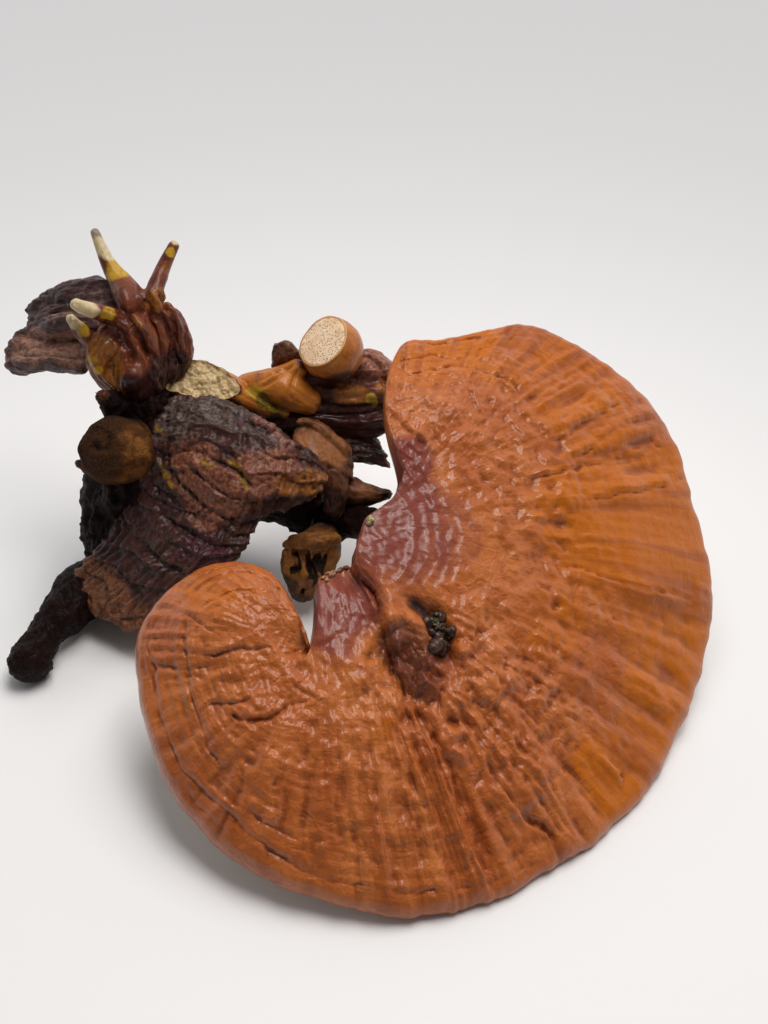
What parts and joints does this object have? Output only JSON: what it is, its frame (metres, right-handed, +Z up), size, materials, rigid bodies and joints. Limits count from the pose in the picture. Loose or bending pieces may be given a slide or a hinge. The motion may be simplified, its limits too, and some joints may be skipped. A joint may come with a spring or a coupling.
{
  "type": "reishi mushroom",
  "caption": "Large lacquered bracket fungus with a kidney-shaped cap, lying on its front margin beside the woody cluster of small caps and buds that it grew from.",
  "frame": {"origin": "middle of the bounding box's base, on the table that the specimen rests on", "axes": "+X to the picture's right, along the length of the specimen; +Y away from the viewer, from the big cap's front margin to the cluster; +Z up"},
  "size_m": [0.2698, 0.201, 0.1344],
  "materials": {
    "lacquered_crust": "glossy orange-brown lacquered crust over corky flesh, with a cream pore face",
    "dark_bark": "nearly black, rough, half-glossy crust",
    "purple_crust": "wrinkled, half-glossy purple-brown crust",
    "velvet_skin": "matt velvety ochre-brown skin",
    "red_brown_skin": "wrinkled red-brown skin",
    "ochre_flesh": "matt ochre to cream flesh and skin"
  },
  "bodies": {
    "root": {"big_cap": "lacquered_crust", "stem": "dark_bark", "trunk": "dark_bark", "side_cap": "purple_crust", "club": "dark_bark", "velvet_bud": "velvet_skin", "antler": "red_brown_skin", "curled_cap": "purple_crust", "scarred_branch": "ochre_flesh", "pale_bud": "ochre_flesh", "folded_cap": "red_brown_skin", "torn_cap": "red_brown_skin", "pointed_cap": "purple_crust", "horn": "red_brown_skin", "stump": "ochre_flesh"}
  },
  "joints": []
}
